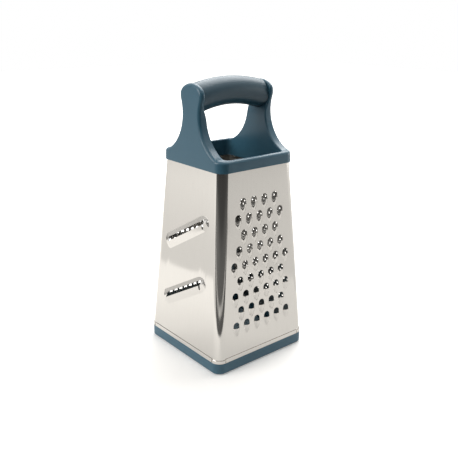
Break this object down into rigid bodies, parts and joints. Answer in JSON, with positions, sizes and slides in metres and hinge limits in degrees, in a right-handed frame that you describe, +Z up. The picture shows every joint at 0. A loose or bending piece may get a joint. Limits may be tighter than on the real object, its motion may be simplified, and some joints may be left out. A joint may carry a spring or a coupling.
{
  "type": "box grater",
  "caption": "Four-sided tapered box grater: pressed steel walls with coarse, medium, fine and slicing sides, an arched soft grip and a closed push-on base.",
  "frame": {"origin": "middle of the footprint, on the surface that the grater stands on", "axes": "+Z up; -Y out of the coarse side, -X out of the slicing side, +X out of the fine side, +Y out of the medium side; the grip runs along X"},
  "size_m": [0.1058, 0.1058, 0.2497],
  "materials": {
    "steel": "bright stainless steel sheet, smooth",
    "plastic": "slate blue moulding, satin",
    "soft_grip": "dark slate soft-touch grip, satin",
    "soft_foot": "dark slate non-slip ring, matte"
  },
  "bodies": {
    "root": {"front_sheet": "steel", "rear_sheet": "steel", "handle_frame": "plastic", "grip_sleeve": "soft_grip", "base_tray": "plastic", "non_slip_ring": "soft_foot"}
  },
  "joints": []
}
